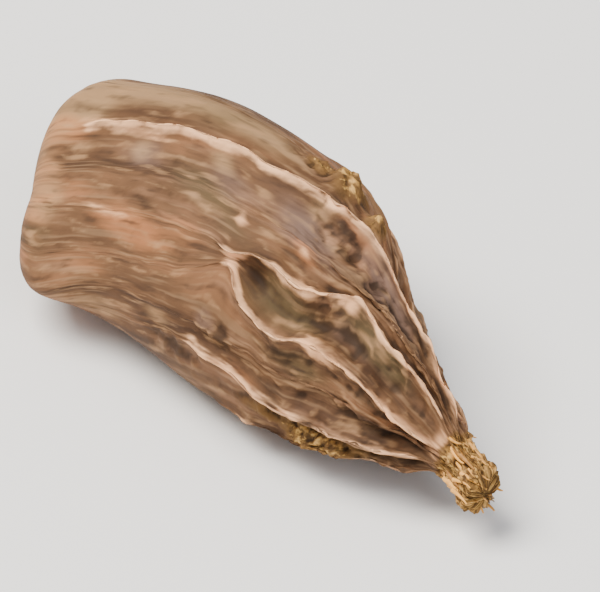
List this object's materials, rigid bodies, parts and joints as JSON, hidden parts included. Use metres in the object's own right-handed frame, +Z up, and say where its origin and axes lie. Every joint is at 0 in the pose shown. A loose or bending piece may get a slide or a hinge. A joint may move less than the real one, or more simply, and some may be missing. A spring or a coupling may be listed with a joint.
{
  "type": "black cardamom pod",
  "caption": "Dried black cardamom pod: an oval ribbed husk with a blunt end, whose ridges rise and gather at a short stub of stalk. It lies on one face.",
  "frame": {"origin": "on the surface that the pod lies on, under the middle of its box", "axes": "+X along the pod towards its stalk, +Z up, and -Y towards the side that the picture shows"},
  "size_m": [0.0338, 0.0162, 0.0147],
  "materials": {
    "husk": "matte, dry and fibrous, brown with paler ridges"
  },
  "bodies": {
    "root": {"pod": "husk"}
  },
  "joints": []
}
